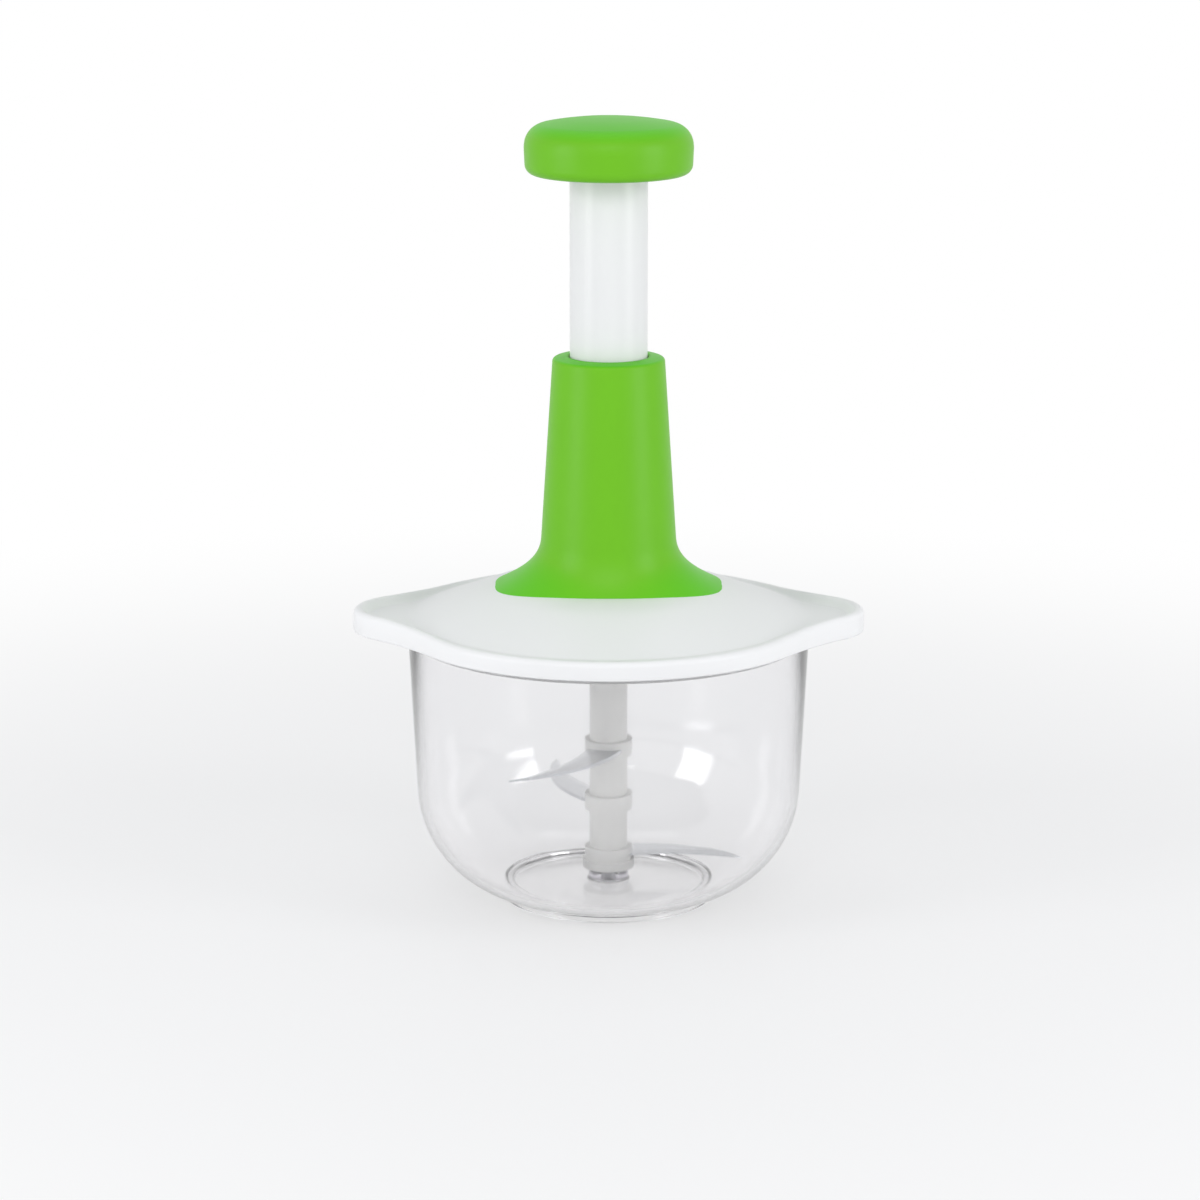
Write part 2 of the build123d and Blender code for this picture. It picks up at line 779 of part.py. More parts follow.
def coil_heading(angle):
    """Direction of the wire at the angle."""
    climb = coil_pitch / (2 * math.pi)
    return Vector(-spring_radius * math.sin(angle), spring_radius * math.cos(angle), climb).normalized()


def biarc_joint(start, end, start_heading, end_heading):
    """Meeting point of the two arcs that leave and reach two points along their headings."""
    chord = end - start
    bend = 2 * (1 - start_heading.dot(end_heading))
    along = chord.dot(start_heading + end_heading)
    handle = (math.sqrt(along**2 + bend * chord.dot(chord)) - along) / bend
    return (start + end + (start_heading - end_heading) * handle) * 0.5


coil_start = spring_bottom + spring_wire / 2 + seat_gap
coil_end = knob_roof - spring_wire / 2 - seat_gap
coil_pitch = (coil_end - coil_start) / spring_turns
with BuildPart() as return_spring:
    with BuildLine() as coil_path:
        for half_turn in range(2 * spring_turns):
            from_angle = math.pi * half_turn
            to_angle = from_angle + math.pi
            start, end = coil_point(from_angle), coil_point(to_angle)
            start_heading, end_heading = coil_heading(from_angle), coil_heading(to_angle)
            joint = biarc_joint(start, end, start_heading, end_heading)
            TangentArc(start, joint, tangent=start_heading)
            TangentArc(joint, end, tangent=end_heading * -1, tangent_from_first=False)
    with BuildSketch(Plane(origin=coil_point(0), z_dir=coil_heading(0))):
        RegularPolygon(spring_wire / 2, spring_wire_sides)
    sweep(path=coil_path.wires()[0])
coil_wire = coil_path.wires()[0]
coil_samples = [coil_wire.position_at(i / spring_samples) for i in range(spring_samples + 1)]
half_turn_samples = spring_samples // (2 * spring_turns)
least_gap = min(
    (near - far).length - spring_wire
    for i, near in enumerate(coil_samples)
    for far in coil_samples[i + half_turn_samples:]
)
print(f"spring: {spring_turns} turns, {coil_wire.length:.0f} mm of wire, least gap {least_gap:.2f} mm")
save(return_spring, "return_spring")


def blade_plan(reach):
    """Plan of a blade along +X: a sickle that narrows to a point and trails, with an eye at the root."""
    tip = (reach * math.cos(math.asin(blade_sweep / reach)), -blade_sweep)
    back_middle = (reach * blade_bow_share, blade_bow)
    edge_middle = (reach * blade_bow_share, blade_bow - blade_width)
    with BuildSketch() as plan:
        with BuildLine():
            ThreePointArc((0, blade_root_radius), back_middle, tip)
            ThreePointArc(tip, edge_middle, (0, -blade_root_radius))
            Line((0, -blade_root_radius), (0, blade_root_radius))
        make_face()
        Circle(blade_root_radius)
        Circle(blade_eye_radius, mode=Mode.SUBTRACT)
    return plan.sketch


def blade_form(reach, height, angle):
    """A flat blade with a ground bevel along its cutting edge, turned to its place on the shaft."""
    with BuildPart() as form:
        with BuildSketch(Plane.XY.offset(height)):
            add(blade_plan(reach))
        extrude(amount=blade_thickness)
        top_face = form.faces().sort_by(Axis.Z)[-1]
        cutting_edge = top_face.edges().sort_by(Axis.Y)[0]
        chamfer(cutting_edge, blade_bevel_width, blade_bevel_depth, reference=top_face)
    return form.part.rotate(Axis.Z, angle)


blade_names = ("blade_lower", "blade_middle", "blade_upper")
blades = []
for index, name in enumerate(blade_names):
    with BuildPart() as blade:
        add(blade_form(blade_reach[index], blade_heights[index], blade_turn * index))
    save(blade, name)
    blades.append(blade.part)

# Blade shaft: moulded round the blades' roots, with a hexagonal head and a bore for the pin
with BuildPart() as blade_shaft:
    with BuildSketch(Plane.XY.offset(shaft_bottom)):
        Circle(shaft_radius)
    extrude(amount=shaft_top - shaft_bottom - drive_head_height)
    with BuildSketch(Plane.XY.offset(shaft_bottom)):
        Circle(shaft_foot_radius)
    extrude(amount=shaft_foot_height)
    for height in blade_heights:
        middle = height + blade_thickness / 2
        with BuildSketch(Plane.XY.offset(middle - shaft_collar_height / 2)):
            Circle(shaft_collar_radius)
        extrude(amount=shaft_collar_height)
    with BuildSketch(Plane.XY.offset(shaft_top - drive_head_height)):
        RegularPolygon(drive_hex / 2 - slide_gap, 6, major_radius=False)
    extrude(amount=drive_head_height)
    chamfer(blade_shaft.edges().group_by(Axis.Z)[-1], shaft_head_chamfer)
    with Locations(Location((0, 0, shaft_bottom), (180, 0, 0))):
        Hole(pivot_pin_radius + running_gap, depth=shaft_bore_depth)
    for blade_part in blades:
        add(blade_part, mode=Mode.SUBTRACT)
save(blade_shaft, "blade_shaft")
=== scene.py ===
# %% [markdown]
# # A press-down food chopper
# The object is a clear bowl under a white lid with two ears. A green tower stands on the lid and
# guides a white tube with a green knob. Pressing the knob drives a nut down a twisted spindle, and
# the spindle spins three blades in the bowl.
# The CAD model fixes every size and joint, and this file gives the surfaces their look. Nothing
# here moves a CAD part: a piece is either kept and given a material, or hidden behind a smoother
# mesh of the same size.

# %% Load the frame
import math

import bmesh
import bpy
from mathutils import Matrix, Vector


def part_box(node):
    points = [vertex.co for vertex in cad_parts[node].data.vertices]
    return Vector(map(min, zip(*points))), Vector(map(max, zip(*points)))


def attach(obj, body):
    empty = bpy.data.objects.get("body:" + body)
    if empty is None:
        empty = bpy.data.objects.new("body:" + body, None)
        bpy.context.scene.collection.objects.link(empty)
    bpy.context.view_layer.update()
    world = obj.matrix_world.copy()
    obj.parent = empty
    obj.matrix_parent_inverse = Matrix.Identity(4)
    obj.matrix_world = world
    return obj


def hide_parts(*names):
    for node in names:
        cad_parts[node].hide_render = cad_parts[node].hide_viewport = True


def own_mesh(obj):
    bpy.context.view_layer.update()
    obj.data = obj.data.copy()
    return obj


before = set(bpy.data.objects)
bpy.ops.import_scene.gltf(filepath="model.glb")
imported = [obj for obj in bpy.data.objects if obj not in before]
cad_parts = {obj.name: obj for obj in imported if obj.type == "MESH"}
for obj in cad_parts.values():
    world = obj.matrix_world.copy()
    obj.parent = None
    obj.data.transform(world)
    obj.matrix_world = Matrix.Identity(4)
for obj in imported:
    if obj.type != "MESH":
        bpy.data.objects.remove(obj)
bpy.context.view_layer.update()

mm = 0.001

# %% [markdown]
# ## Camera
# The camera stands in front, a little above the lid. How far off it is shows in how much the view
# flattens from the foot to the knob: the lid is seen from 14 degrees above and the tower's mouth
# from 10. A distance of 1.2 m gives both. The aim point and the lens are named here, and the tilt
# follows from them.

# %% Place the camera
camera_distance = 1.200
camera_height = 0.3862
aim_height = 0.0994
camera_shift_left = 0.0028
photo_width = 1200
focal_pixels = 3780
sensor_width = 36.0

camera_data = bpy.data.cameras.new("photo_camera")
camera_data.sensor_width = sensor_width
camera_data.lens = sensor_width * focal_pixels / photo_width
camera = bpy.data.objects.new("photo_camera", camera_data)
bpy.context.scene.collection.objects.link(camera)
camera.location = (-camera_shift_left, -camera_distance, camera_height)
aim = Vector((-camera_shift_left, 0.0, aim_height))
camera.rotation_euler = (aim - camera.location).to_track_quat("-Z", "Y").to_euler()
bpy.context.scene.camera = camera
tilt = math.degrees(math.atan2(camera_height - aim_height, camera_distance))
print(f"camera: lens {camera_data.lens:.1f} mm, looking down {tilt:.1f} degrees")

# %% [markdown]
# ## Light and background
# Glossy plastic is photographed between large soft panels, which draw two soft upright highlights
# on a tower like this one. On a round form a highlight sits halfway between the camera and its
# lamp, so highlights a third of the way round to each side ask for panels 62 degrees off the
# camera. The panels stand low, because the camera looks down and upright walls mirror what is
# level with them. A broad panel high in front makes the upright faces the brightest and the back of
# the lid the darkest, and a weak one overhead keeps that back from going dull. The background is
# white only for the camera and for what is seen in or through a surface, so it adds no light to
# matt ones.

# %% Helper for soft lamps
def soft_lamp(name, place, target, width, height, power):
    """A rectangular area lamp at the place, turned to the target."""
    data = bpy.data.lights.new(name, "AREA")
    data.shape = "RECTANGLE"
    data.size = width
    data.size_y = height
    data.energy = power
    lamp = bpy.data.objects.new(name, data)
    bpy.context.scene.collection.objects.link(lamp)
    lamp.location = place
    lamp.rotation_euler = (Vector(target) - lamp.location).to_track_quat("-Z", "Y").to_euler()
    return lamp


# %% Hang the lamps
panel_turn = math.radians(62)
panel_distance = 0.85
panel_height = 0.36
panel_side = panel_distance * math.sin(panel_turn)
panel_front = -panel_distance * math.cos(panel_turn)
panel_target = (0.0, 0.0, 0.30)
panel_power = 3.5
panel_shape = (0.34, 0.68)
lamps = []
for name, side in (("left_panel", -1), ("right_panel", 1)):
    place = (side * panel_side, panel_front, panel_height)
    lamps.append(soft_lamp(name, place, panel_target, *panel_shape, panel_power))
lamps += [
    soft_lamp("front_panel", (0.0, -1.35, 0.98), (0.0, 0.0, 0.15), 1.0, 0.6, 5.6),
    soft_lamp("top_panel", (0.0, 0.25, 1.25), (0.0, 0.0, 0.1), 0.9, 0.9, 1.8),
]
print(f"lamps: {len(lamps)}, panels {panel_side:.2f} m aside and {-panel_front:.2f} m in front")

# %% Helper for the rays that see the background
def background_rays(nodes, links):
    """A value of 1 for rays from the camera, through a surface or mirrored by one."""
    rays = nodes.new("ShaderNodeLightPath")
    share = rays.outputs["Is Camera Ray"]
    for kind in ("Is Transmission Ray", "Is Glossy Ray"):
        either = nodes.new("ShaderNodeMath")
        either.operation = "MAXIMUM"
        links.new(share, either.inputs[0])
        links.new(rays.outputs[kind], either.inputs[1])
        share = either.outputs[0]
    return share


# %% Fill the world
world = bpy.data.worlds.new("studio")
bpy.context.scene.world = world
world.use_nodes = True
nodes, links = world.node_tree.nodes, world.node_tree.links
nodes.clear()
world_output = nodes.new("ShaderNodeOutputWorld")
world_mix = nodes.new("ShaderNodeMixShader")
fill_light = nodes.new("ShaderNodeBackground")
fill_light.inputs["Color"].default_value = (0.92, 0.95, 1.0, 1.0)
fill_light.inputs["Strength"].default_value = 0.44
seen_white = nodes.new("ShaderNodeBackground")
seen_white.inputs["Color"].default_value = (1.0, 1.0, 1.0, 1.0)
seen_white.inputs["Strength"].default_value = 1.0
links.new(background_rays(nodes, links), world_mix.inputs[0])
links.new(fill_light.outputs[0], world_mix.inputs[1])
links.new(seen_white.outputs[0], world_mix.inputs[2])
links.new(world_mix.outputs[0], world_output.inputs["Surface"])
bpy.context.scene.view_settings.view_transform = "Standard"

# %% [markdown]
# ## Floor
# The floor is plain and pale. Close to the bowl it is a real matt surface, so that the bowl keeps
# its shadow, and further out it fades to the white of the background, so that no horizon shows.
# A gradient over the distance from the bowl does the fading.

# %% Lay the floor
floor_half = 3.0
fade_start = 0.16
fade_end = 0.60
least_white = 0.6
bpy.ops.mesh.primitive_plane_add(size=2 * floor_half, location=(0, 0, -0.05 * mm))
floor = bpy.context.active_object
floor.name = "floor"
floor_look = bpy.data.materials.new("pale_floor")
floor_look.use_nodes = True
nodes, links = floor_look.node_tree.nodes, floor_look.node_tree.links
matt = nodes["Principled BSDF"]
matt.inputs["Base Color"].default_value = (0.80, 0.80, 0.81, 1.0)
matt.inputs["Roughness"].default_value = 0.6
matt.inputs["Specular IOR Level"].default_value = 0.2
white = nodes.new("ShaderNodeEmission")
white.inputs["Strength"].default_value = 1.0
place = nodes.new("ShaderNodeNewGeometry")
distance = nodes.new("ShaderNodeVectorMath")
distance.operation = "LENGTH"
fade = nodes.new("ShaderNodeMapRange")
fade.interpolation_type = "SMOOTHSTEP"
fade.inputs["From Min"].default_value = fade_start
fade.inputs["From Max"].default_value = fade_end
fade.inputs["To Min"].default_value = least_white
floor_share = nodes.new("ShaderNodeMath")
floor_share.operation = "MULTIPLY"
floor_mix = nodes.new("ShaderNodeMixShader")
links.new(place.outputs["Position"], distance.inputs[0])
links.new(distance.outputs["Value"], fade.inputs["Value"])
links.new(background_rays(nodes, links), floor_share.inputs[0])
links.new(fade.outputs["Result"], floor_share.inputs[1])
links.new(floor_share.outputs[0], floor_mix.inputs[0])
links.new(matt.outputs[0], floor_mix.inputs[1])
links.new(white.outputs[0], floor_mix.inputs[2])
links.new(floor_mix.outputs[0], nodes["Material Output"].inputs["Surface"])
floor.data.materials.append(floor_look)
print("floor fades from", fade_start, "to", fade_end, "m")

# %% [markdown]
# ## Moulded plastic
# Most of the object is injection moulded. Such a surface is never quite even: the colour drifts a
# little where the melt flowed, and the polished mould leaves a very fine ripple. Two noises do
# this, a broad one for colour and gloss and a fine one for the ripple. A noise in the object's own
# coordinates needs no unwrapping and stays in place when the piece moves. The green also carries a
# painted shade: where it faces up, the normal brings in a second, cooler and darker green.

# %% Helper for moulded plastic
def moulded_plastic(name, colour, roughness, specular, drift=0.04, ripple=0.02, ripple_size=2.5,
                    painted_top_shade=None):
    """Plastic with a slow drift of colour and gloss, a fine ripple in mm and a painted shade on
    top.
    """
    look = bpy.data.materials.new(name)
    look.use_nodes = True
    nodes, links = look.node_tree.nodes, look.node_tree.links
    shader = nodes["Principled BSDF"]
    shader.inputs["Specular IOR Level"].default_value = specular
    place = nodes.new("ShaderNodeTexCoord")
    broad = nodes.new("ShaderNodeTexNoise")
    broad.inputs["Scale"].default_value = 28.0
    broad.inputs["Detail"].default_value = 3.0
    fine = nodes.new("ShaderNodeTexNoise")
    fine.inputs["Scale"].default_value = 1.0 / (ripple_size * mm)
    fine.inputs["Detail"].default_value = 4.0
    links.new(place.outputs["Object"], broad.inputs["Vector"])
    links.new(place.outputs["Object"], fine.inputs["Vector"])
    tones = nodes.new("ShaderNodeMix")
    tones.data_type = "RGBA"
    tones.inputs["A"].default_value = (*[part * (1 - drift) for part in colour], 1.0)
    tones.inputs["B"].default_value = (*[min(part * (1 + drift), 1.0) for part in colour], 1.0)
    links.new(broad.outputs["Fac"], tones.inputs["Factor"])
    links.new(tones.outputs["Result"], shader.inputs["Base Color"])
    # Painted shade: where the normal points up, the colour turns to the cooler, darker top shade.
    if painted_top_shade:
        facing = nodes.new("ShaderNodeSeparateXYZ")
        top_shade_mask = nodes.new("ShaderNodeMapRange")
        top_shade_mask.inputs["From Min"].default_value = 0.45
        top_shade_mask.inputs["From Max"].default_value = 0.95
        top_shade_mix = nodes.new("ShaderNodeMix")
        top_shade_mix.data_type = "RGBA"
        top_shade_mix.inputs["B"].default_value = (*painted_top_shade, 1.0)
        links.new(place.outputs["Normal"], facing.inputs["Vector"])
        links.new(facing.outputs["Z"], top_shade_mask.inputs["Value"])
        links.new(top_shade_mask.outputs["Result"], top_shade_mix.inputs["Factor"])
        links.new(tones.outputs["Result"], top_shade_mix.inputs["A"])
        links.new(top_shade_mix.outputs["Result"], shader.inputs["Base Color"])
    gloss = nodes.new("ShaderNodeMapRange")
    gloss.inputs["To Min"].default_value = roughness * 0.9
    gloss.inputs["To Max"].default_value = roughness * 1.1
    links.new(broad.outputs["Fac"], gloss.inputs["Value"])
    links.new(gloss.outputs["Result"], shader.inputs["Roughness"])
    bump = nodes.new("ShaderNodeBump")
    bump.inputs["Strength"].default_value = 0.35
    bump.inputs["Distance"].default_value = ripple * mm
    links.new(fine.outputs["Fac"], bump.inputs["Height"])
    links.new(bump.outputs["Normal"], shader.inputs["Normal"])
    return look


# %% Mix the plastics
# The apple green gets a painted shade on its upward faces: a cooler, darker green.
apple_green = moulded_plastic("apple_green_plastic", (0.146, 0.470, 0.012), 0.42, 0.22,
                              painted_top_shade=(0.100, 0.530, 0.006))
lid_white = moulded_plastic("lid_white_plastic", (0.82, 0.82, 0.82), 0.38, 0.22, drift=0.015)
tube_white = moulded_plastic("tube_white_plastic", (0.76, 0.765, 0.76), 0.30, 0.35, drift=0.02)
shaft_white = moulded_plastic("shaft_white_plastic", (0.76, 0.76, 0.75), 0.34, 0.4, drift=0.02)
bearing_white = moulded_plastic("bearing_plastic", (0.70, 0.69, 0.65), 0.55, 0.3, drift=0.03)
seal_grey = moulded_plastic("silicone_seal", (0.62, 0.64, 0.64), 0.6, 0.3, drift=0.03,
                            ripple_size=0.8)
print("plastics:", 6)

# %% [markdown]
# ## Clear plastic
# The bowl is clear styrene, which bends light like glass and soaks up a little of it. Where the
# line of sight runs along the wall, at both edges of the bowl, that adds up to a grey lilac tint.
# Absorption inside the wall gives exactly that, while tinting the surface would darken it evenly.

# %% Mix the clear plastic
clear_styrene = bpy.data.materials.new("clear_styrene")
clear_styrene.use_nodes = True
nodes, links = clear_styrene.node_tree.nodes, clear_styrene.node_tree.links
shader = nodes["Principled BSDF"]
shader.inputs["Base Color"].default_value = (1.0, 1.0, 1.0, 1.0)
shader.inputs["Transmission Weight"].default_value = 1.0
shader.inputs["IOR"].default_value = 1.5
place = nodes.new("ShaderNodeTexCoord")
haze = nodes.new("ShaderNodeTexNoise")
haze.inputs["Scale"].default_value = 60.0
links.new(place.outputs["Object"], haze.inputs["Vector"])
haze_range = nodes.new("ShaderNodeMapRange")
haze_range.inputs["To Min"].default_value = 0.03
haze_range.inputs["To Max"].default_value = 0.08
links.new(haze.outputs["Fac"], haze_range.inputs["Value"])
links.new(haze_range.outputs["Result"], shader.inputs["Roughness"])
absorb = nodes.new("ShaderNodeVolumeAbsorption")
absorb.inputs["Color"].default_value = (0.10, 0.03, 0.24, 1.0)
absorb.inputs["Density"].default_value = 9.0
links.new(absorb.outputs[0], nodes["Material Output"].inputs["Volume"])

# %% [markdown]
# ## Steel
# The blades are stamped from sheet and ground, so fine lines run along them, and the spindle is
# drawn bar whose lines run along its length. A noise stretched in one direction makes such lines.
# It drives both the roughness and a faint bump, because a scratch does both on real steel.

# %% Helper for drawn and ground steel
def lined_steel(name, colour, roughness, stretch, line_depth=0.01):
    """Steel with fine lines; stretch scales the noise along X, Y and Z."""
    look = bpy.data.materials.new(name)
    look.use_nodes = True
    nodes, links = look.node_tree.nodes, look.node_tree.links
    shader = nodes["Principled BSDF"]
    shader.inputs["Metallic"].default_value = 1.0
    shader.inputs["Base Color"].default_value = (*colour, 1.0)
    place = nodes.new("ShaderNodeTexCoord")
    mapping = nodes.new("ShaderNodeMapping")
    mapping.inputs["Scale"].default_value = stretch
    links.new(place.outputs["Object"], mapping.inputs["Vector"])
    lines = nodes.new("ShaderNodeTexNoise")
    lines.inputs["Scale"].default_value = 1.0
    lines.inputs["Detail"].default_value = 5.0
    links.new(mapping.outputs["Vector"], lines.inputs["Vector"])
    gloss = nodes.new("ShaderNodeMapRange")
    gloss.inputs["To Min"].default_value = roughness * 0.7
    gloss.inputs["To Max"].default_value = roughness * 1.4
    links.new(lines.outputs["Fac"], gloss.inputs["Value"])
    links.new(gloss.outputs["Result"], shader.inputs["Roughness"])
    bump = nodes.new("ShaderNodeBump")
    bump.inputs["Strength"].default_value = 0.4
    bump.inputs["Distance"].default_value = line_depth * mm
    links.new(lines.outputs["Fac"], bump.inputs["Height"])
    links.new(bump.outputs["Normal"], shader.inputs["Normal"])
    return look


# %% Mix the steels
blade_steel = lined_steel("blade_steel", (0.62, 0.63, 0.65), 0.24, (300.0, 3000.0, 300.0))
spindle_steel = lined_steel("spindle_steel", (0.52, 0.53, 0.55), 0.30, (2500.0, 2500.0, 200.0))
spring_steel = lined_steel("spring_steel", (0.48, 0.48, 0.50), 0.28, (1500.0, 1500.0, 400.0))
screw_steel = lined_steel("screw_steel", (0.55, 0.55, 0.57), 0.32, (1800.0, 1800.0, 1800.0))
print("steels:", 4)

# %% [markdown]
# ## Turned shapes
# The bowl, the tube and the knob are round about one axis, so each is a profile turned about Z.
# A moulding has no sharp corners, and a rounded corner is what catches the light, so the helper
# takes the profile's corner points with a radius for each and puts a true arc at every corner.

# %% Helper for rounded profiles
arc_step = math.radians(7.0)


def rounded_profile(corners):
    """Points (r, z) in metres from corners (r, z, radius) in mm, with an arc at each corner."""
    points = []
    for index, (r, z, radius) in enumerate(corners):
        corner = Vector((r, z))
        if radius == 0 or index in (0, len(corners) - 1):
            points.append(corner * mm)
            continue
        back = (Vector(corners[index - 1][:2]) - corner).normalized()
        ahead = (Vector(corners[index + 1][:2]) - corner).normalized()
        half = back.angle(ahead) / 2
        centre = corner + (back + ahead).normalized() * radius / math.sin(half)
        arm = corner + back * radius / math.tan(half) - centre
        turn = math.pi - 2 * half
        if back.x * ahead.y - back.y * ahead.x > 0:
            turn = -turn
        steps = max(2, math.ceil(abs(turn) / arc_step))
        for step in range(steps + 1):
            angle = turn * step / steps
            turned = Vector((
                arm.x * math.cos(angle) - arm.y * math.sin(angle),
                arm.x * math.sin(angle) + arm.y * math.cos(angle),
            ))
            points.append((centre + turned) * mm)
    return points


# %% Helper for skins between rings
def skin_rings(name, rings, material, closed=False):
    """A smooth mesh through rings of points; a ring of one point closes the end."""
    form = bmesh.new()
    made = [[form.verts.new(point) for point in ring] for ring in rings]
    pairs = list(zip(made, made[1:]))
    if closed:
        pairs.append((made[-1], made[0]))
    for first, second in pairs:
        count = max(len(first), len(second))
        for index in range(count):
            following = (index + 1) % count
            if len(first) == 1:
                form.faces.new((first[0], second[index], second[following]))
            elif len(second) == 1:
                form.faces.new((first[index], second[0], first[following]))
            else:
                form.faces.new((first[index], second[index], second[following], first[following]))
    bmesh.ops.recalc_face_normals(form, faces=form.faces)
    for face in form.faces:
        face.smooth = True
    mesh = bpy.data.meshes.new(name)
    form.to_mesh(mesh)
    form.free()
    piece = bpy.data.objects.new(name, mesh)
    bpy.context.scene.collection.objects.link(piece)
    mesh.materials.append(material)
    return piece


# %% Helper for turning a profile
round_count = 160


def turn_profile(name, points, material, closed=False):
    """Turn points (r, z) about Z; a point on the axis becomes a pole."""
    rings = []
    for r, z in points:
        if r < 0.01 * mm:
            rings.append([Vector((0.0, 0.0, z))])
        else:
            angles = [2 * math.pi * index / round_count for index in range(round_count)]
            rings.append([Vector((r * math.cos(a), r * math.sin(a), z)) for a in angles])
    return skin_rings(name, rings, material, closed)


# %% [markdown]
# ## Bowl
# The bowl is one thin moulding with a wide rounded corner, a low ring to stand on and a small boss
# in the middle for the pin. Seen through, its inside matters as much as its outside, so the whole
# wall is one closed profile with both faces. Light then bends twice, as in the real wall. The rim
# and the lid's lip stand a little higher than in the CAD model, to follow the photograph closely.

# %% Turn the bowl
rim_lift = 2.35
bowl_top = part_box("bowl")[1].z / mm + rim_lift
bowl_rim_radius = 65.7
bowl_base_radius = 61.2
bowl_corner_radius = 36.0
bowl_wall = 2.4
foot_height = 1.6
foot_outer = 35.0
foot_inner = 32.4
boss_radius = 6.5
boss_height = 4.0
pin_radius = 2.5
floor_top = foot_height + bowl_wall
boss_top = floor_top + boss_height
pin_bite = 4.0

bowl_profile = rounded_profile([
    (0.0, foot_height, 0),
    (foot_inner, foot_height, 0.4),
    (foot_inner, 0.0, 0.5),
    (foot_outer, 0.0, 0.7),
    (foot_outer, foot_height + 1.0, 0.3),
    (foot_outer + 1.5, foot_height + 1.3, 0),
])[:-1]
corner_arc = rounded_profile([
    (0.0, foot_height, 0),
    (bowl_base_radius, foot_height, bowl_corner_radius),
    (bowl_rim_radius, bowl_top, 0),
])
bowl_profile += [point for point in corner_arc if point.x > (foot_outer + 1.2) * mm][:-1]
lean = (bowl_rim_radius - bowl_base_radius) / (bowl_top - foot_height)
inner_rim = bowl_rim_radius - bowl_wall
inner_base = bowl_base_radius - bowl_wall + lean * bowl_wall
bowl_profile += rounded_profile([
    (bowl_rim_radius - lean * 20, bowl_top - 20, 0),
    (bowl_rim_radius, bowl_top, 0.9),
    (inner_rim, bowl_top, 0.9),
    (inner_base, floor_top, bowl_corner_radius - bowl_wall),
    (boss_radius, floor_top, 0.8),
    (boss_radius, boss_top, 1.2),
    (pin_radius, boss_top, 0.3),
    (pin_radius, boss_top - pin_bite, 0.2),
    (0.0, boss_top - pin_bite, 0),
])
clear_bowl = turn_profile("clear_bowl", bowl_profile, clear_styrene)
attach(clear_bowl, "bowl")
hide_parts("bowl")
print("bowl profile points:", len(bowl_profile))

# %% [markdown]
# ## Tube and knob
# The tube is plain and glossy. The knob is a crowned cap with a large rounding above, a smaller
# one below and a side that bows out slightly, so that it sits in the palm. Both are turned, and the
# knob stays hollow below for the plate that closes it.

# %% Turn the tube
tube_low, tube_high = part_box("plunger_tube")
tube_radius = 12.5
tube_bore = 10.5
flange_radius = 14.5
flange_height = 1.6
tube_foot = tube_low.z / mm
tube_head = tube_high.z / mm
tube_profile = rounded_profile([
    (tube_bore, tube_foot + 1.0, 0),
    (tube_bore, tube_foot, 0.3),
    (tube_radius, tube_foot, 0.3),
    (tube_radius, tube_head - flange_height, 0.2),
    (flange_radius, tube_head - flange_height, 0.2),
    (flange_radius, tube_head, 0.2),
    (tube_bore, tube_head, 0.2),
    (tube_bore, tube_head - 1.0, 0),
])
slide_tube = turn_profile("slide_tube", tube_profile, tube_white, closed=True)
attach(slide_tube, "plunger")
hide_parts("plunger_tube")
print("tube length in mm:", round(tube_head - tube_foot, 1))

# %% Turn the knob
knob_low, knob_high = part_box("push_knob")
knob_foot = knob_low.z / mm
knob_head = knob_high.z / mm
knob_radius = knob_high.x / mm
knob_roof = tube_head
knob_cavity = 22.4
knob_profile = rounded_profile([
    (0.0, knob_head - 0.4, 0),
    (knob_radius * 0.5, knob_head - 1.0, 60.0),
    (knob_radius - 0.65, knob_head - 3.2, 7.0),
    (knob_radius + 0.05, knob_foot + 8.8, 8.0),
    (knob_radius - 0.35, knob_foot + 0.1, 3.3),
    (knob_cavity, knob_foot + 0.1, 0.3),
    (knob_cavity, knob_roof, 0.8),
    (0.0, knob_roof, 0),
])
palm_knob = turn_profile("palm_knob", knob_profile, apple_green)
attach(palm_knob, "plunger")
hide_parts("push_knob")
knob_reach = max(point.x for point in knob_profile) / mm
print(f"knob radius {knob_reach:.2f} mm, CAD {knob_radius:.2f} mm")

# %% [markdown]
# ## Lid surface
# The lid is a low dome with a raised lip round it, and two ears where the lip runs out and rises.
# In plan it is a circle joined to two smaller circles by long hollow arcs. The top is the higher of
# two surfaces: the dome, and a dished plate inside the lip. The crease between them is softened
# into a groove, as a mould would leave it. One height for each place can be written as a function
# and then sampled.

# %% Describe the lid's outline
lid_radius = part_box("lid")[1].y / mm
ear_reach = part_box("lid")[1].x / mm
ear_tip_radius = 19.0
ear_blend = 110.0
ear_middle = ear_reach - ear_tip_radius


def lid_reach(angle):
    """Distance from the axis to the lid's edge in plan, in mm."""
    angle = abs(math.atan2(math.sin(angle), abs(math.cos(angle))))
    far, near = lid_radius + ear_blend, ear_tip_radius + ear_blend
    corner = math.acos((far**2 + ear_middle**2 - near**2) / (2 * far * ear_middle))
    if angle >= corner:
        return lid_radius
    blend_middle = Vector((far * math.cos(corner), far * math.sin(corner)))
    tip_middle = Vector((ear_middle, 0))
    touch = tip_middle + (blend_middle - tip_middle) * ear_tip_radius / near
    if angle <= math.atan2(touch.y, touch.x):
        return ear_middle * math.cos(angle) + math.sqrt(
            ear_tip_radius**2 - (ear_middle * math.sin(angle)) ** 2)
    along = blend_middle.dot(Vector((math.cos(angle), math.sin(angle))))
    return along - math.sqrt(ear_blend**2 - (blend_middle.length_squared - along**2))


def lid_slant(angle):
    """Cosine between the edge's normal and the direction from the axis."""
    step = 0.002
    slope = (lid_reach(angle + step) - lid_reach(angle - step)) / (2 * step)
    return 1.0 / math.sqrt(1.0 + (slope / lid_reach(angle)) ** 2)


print("lid reach at the ear, the blend and the side:",
      [round(lid_reach(math.radians(a)), 1) for a in (0, 25, 90)])

